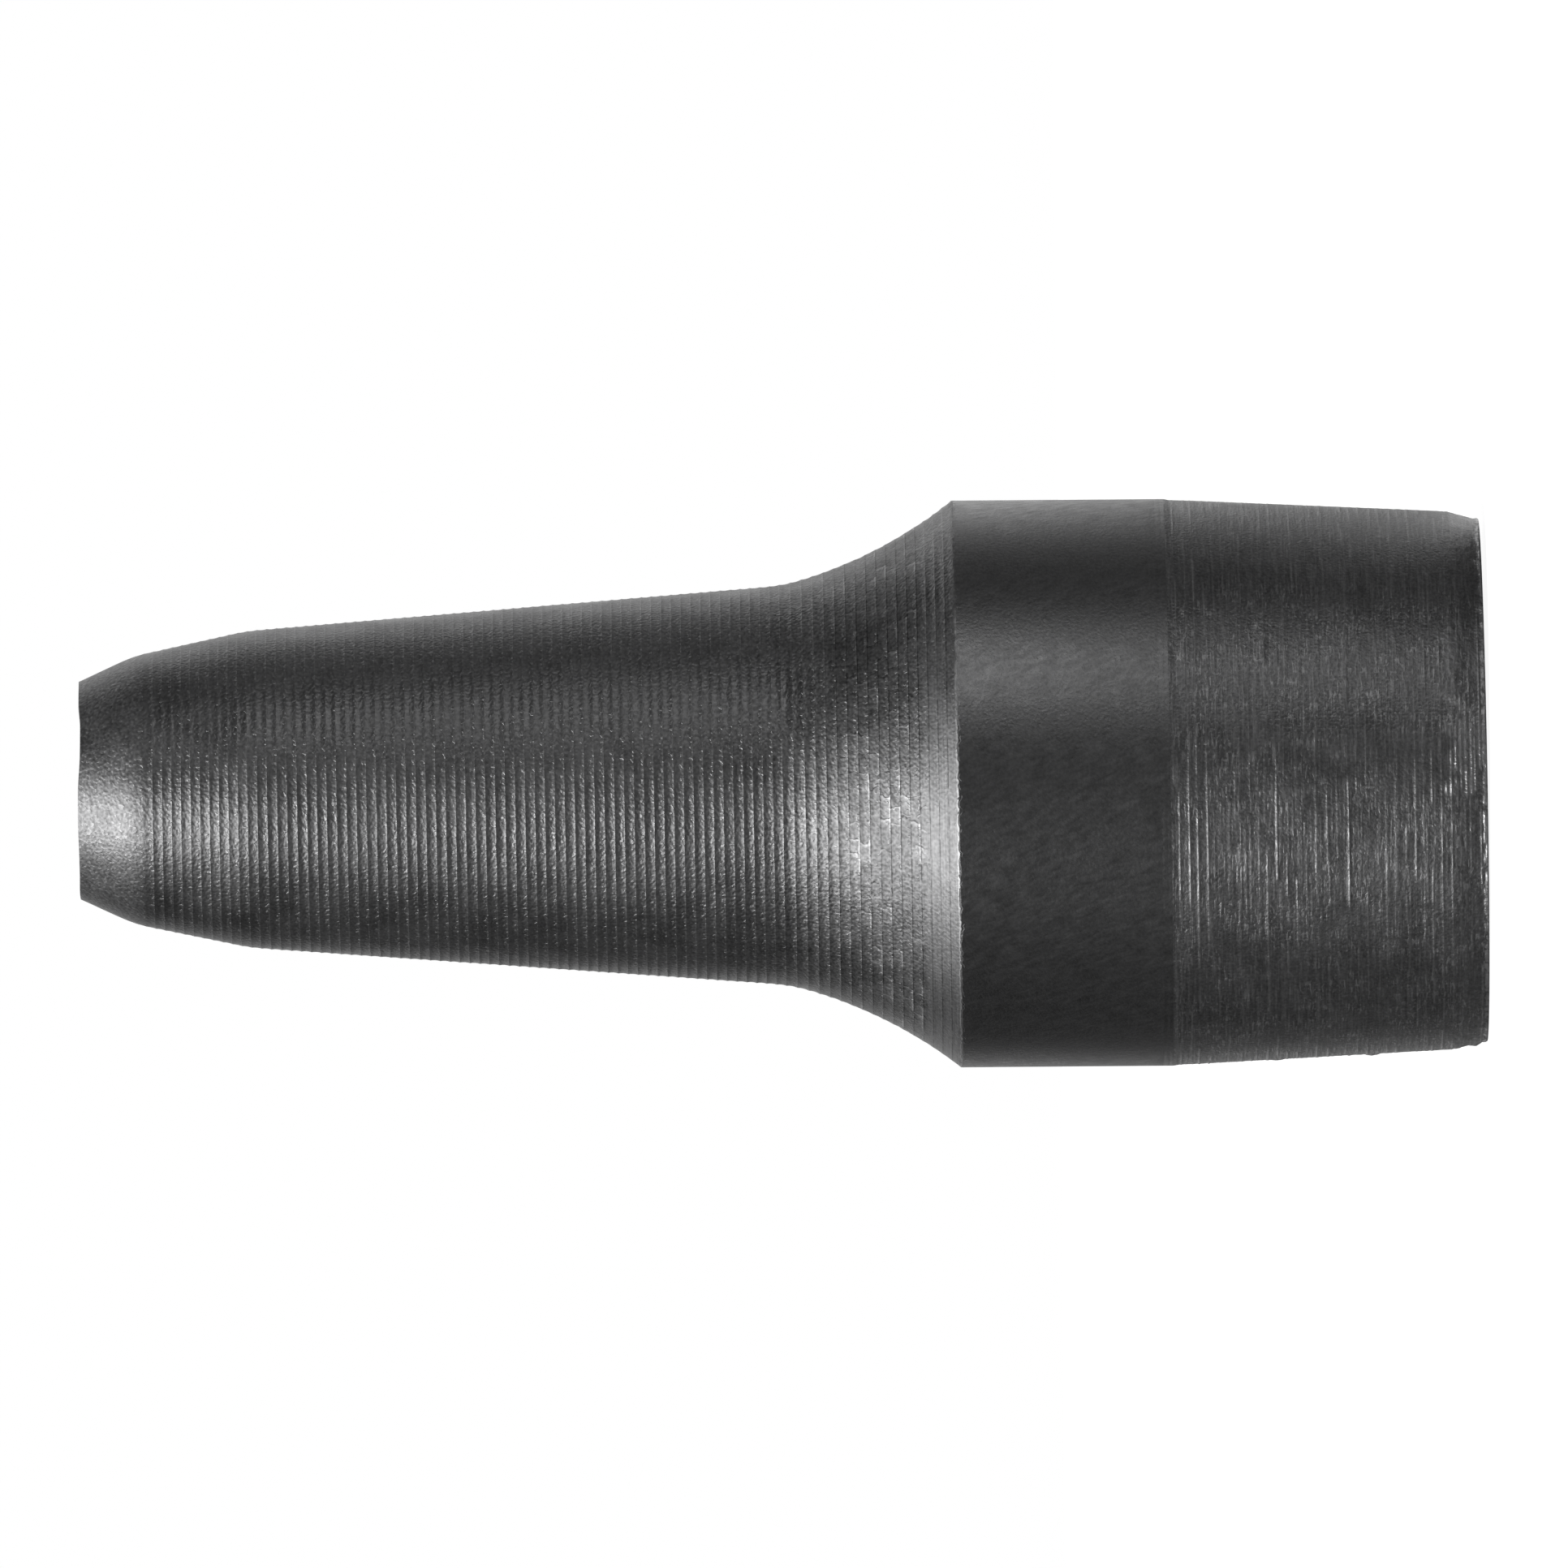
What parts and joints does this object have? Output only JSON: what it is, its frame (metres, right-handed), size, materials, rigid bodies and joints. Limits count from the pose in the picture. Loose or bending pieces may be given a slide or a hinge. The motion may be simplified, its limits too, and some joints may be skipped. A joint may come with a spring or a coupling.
{
  "type": "hollow punch",
  "caption": "Tapered hollow punch with a bevelled round cutting edge, flared neck, smooth collar and self-holding taper shank, bored right through so that slugs fall out at the tail.",
  "frame": {"origin": "centre of the tail face, which the punch stands on", "axes": "+Z along the axis of the punch, from the tail face towards the cutting edge"},
  "size_m": [0.01, 0.01, 0.0248],
  "materials": {
    "turned_steel": "black oxide over fine turning ridges",
    "drawn_steel": "black oxide over a smooth drawn surface",
    "rough_steel": "black oxide over coarse torn turning marks"
  },
  "bodies": {
    "root": {"punch_tube": "turned_steel", "collar": "drawn_steel", "taper_shank": "rough_steel"}
  },
  "joints": []
}
